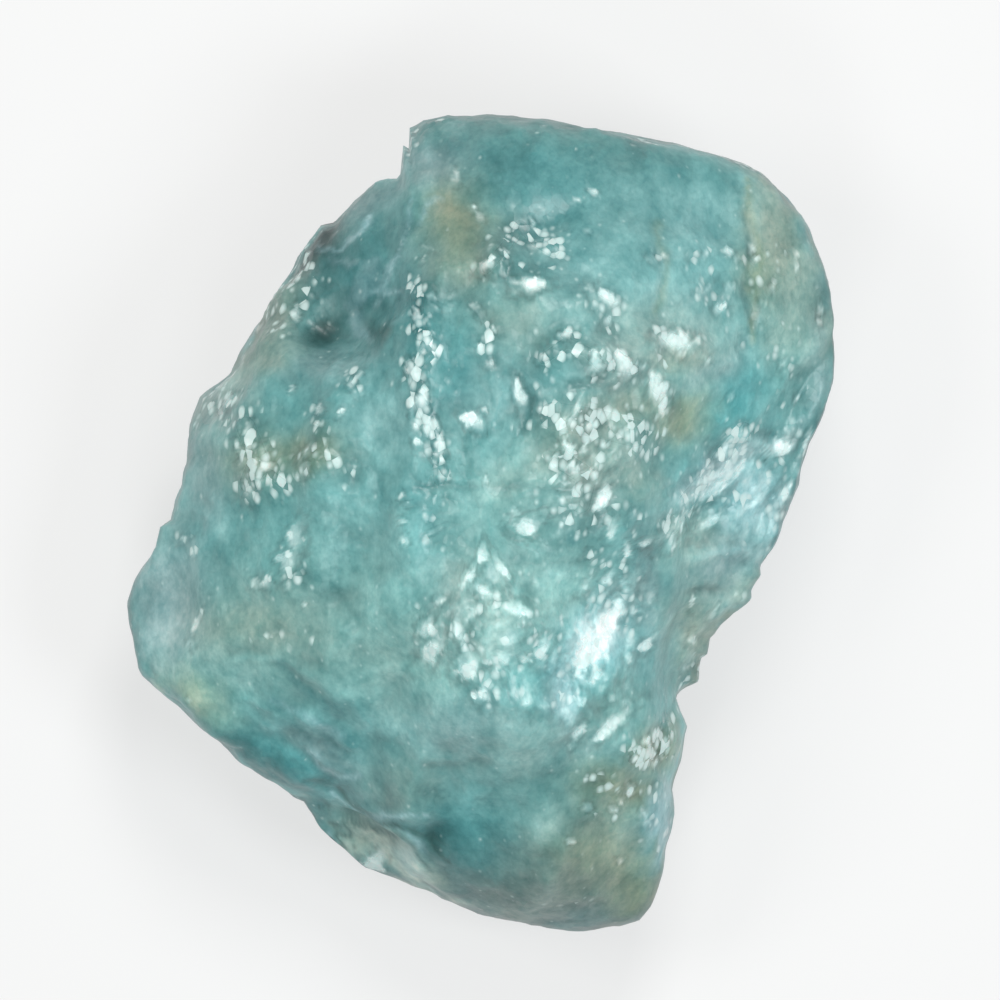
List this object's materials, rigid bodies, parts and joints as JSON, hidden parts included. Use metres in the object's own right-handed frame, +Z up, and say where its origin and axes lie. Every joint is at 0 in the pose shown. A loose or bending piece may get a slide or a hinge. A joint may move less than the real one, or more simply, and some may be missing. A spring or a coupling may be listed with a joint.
{
  "type": "rough aquamarine crystal",
  "caption": "Rough piece of translucent blue-green aquamarine with broken, chipped faces, ledges and a thin flake at one edge, lying on its flat back.",
  "frame": {"origin": "under the middle of the stone's outline, on the surface that it rests on", "axes": "+Y along the stone's longest side, +X across it, +Z up from the flat back to the chipped front"},
  "size_m": [0.0214, 0.0246, 0.0132],
  "materials": {
    "aquamarine": "cloudy translucent beryl, waxy on worn faces and glassy on fresh chips"
  },
  "bodies": {
    "root": {"aquamarine_stone": "aquamarine"}
  },
  "joints": []
}
